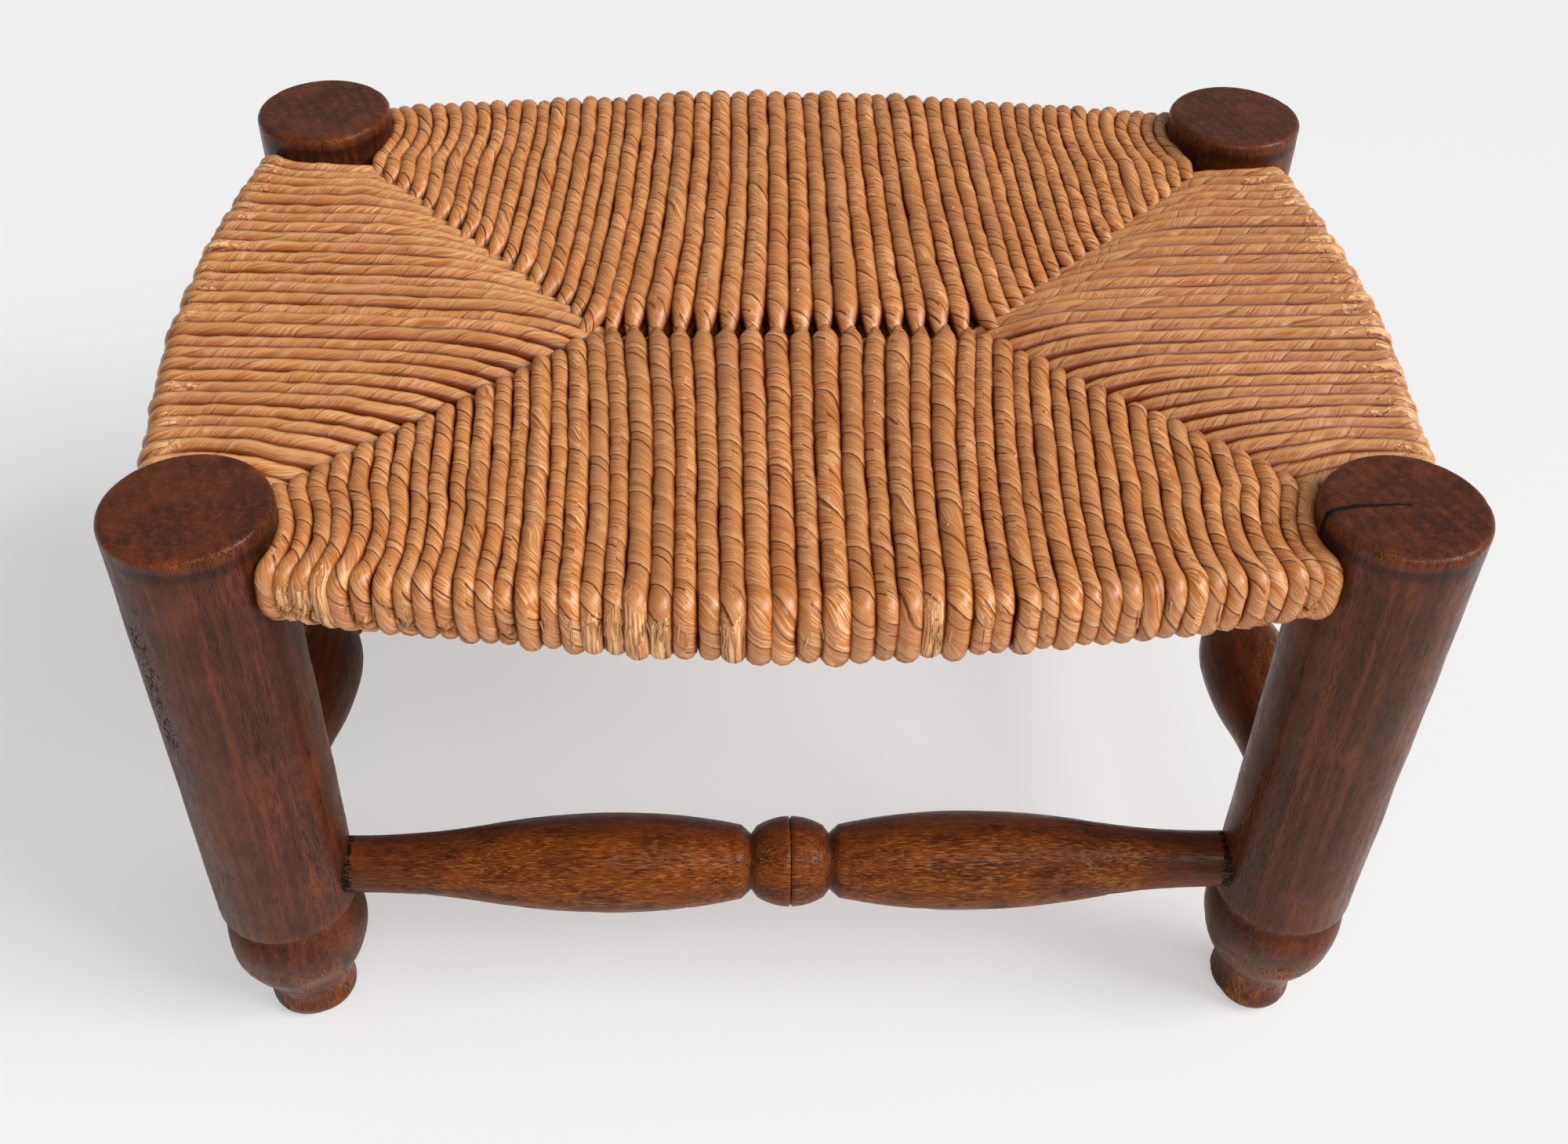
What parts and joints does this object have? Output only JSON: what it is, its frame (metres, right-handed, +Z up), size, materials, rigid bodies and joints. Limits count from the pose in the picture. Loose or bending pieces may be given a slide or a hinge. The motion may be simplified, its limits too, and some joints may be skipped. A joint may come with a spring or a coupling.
{
  "type": "rush-seated footstool",
  "caption": "Low oblong footstool with turned posts and stretchers and a corner-to-corner woven rush seat, for resting the feet or sitting low.",
  "frame": {"origin": "on the floor, under the middle of the seat", "axes": "+X along the long side, to the right of a person facing the front; +Y from front to back; +Z up"},
  "size_m": [0.3962, 0.2946, 0.23],
  "materials": {
    "turned_wood": "dark stain, worn wax",
    "rail_wood": "bare",
    "rush_cord": "varnished straw",
    "straw": "loose straw"
  },
  "bodies": {
    "root": {"leg_front_left": "turned_wood", "leg_front_right": "turned_wood", "leg_back_left": "turned_wood", "leg_back_right": "turned_wood", "stretcher_front": "turned_wood", "stretcher_back": "turned_wood", "stretcher_left": "turned_wood", "stretcher_right": "turned_wood", "rail_front": "rail_wood", "rail_back": "rail_wood", "rail_left": "rail_wood", "rail_right": "rail_wood", "rush_front": "rush_cord", "rush_back": "rush_cord", "rush_left": "rush_cord", "rush_right": "rush_cord", "stuffing_front": "straw", "stuffing_back": "straw", "stuffing_left": "straw", "stuffing_right": "straw"}
  },
  "joints": []
}
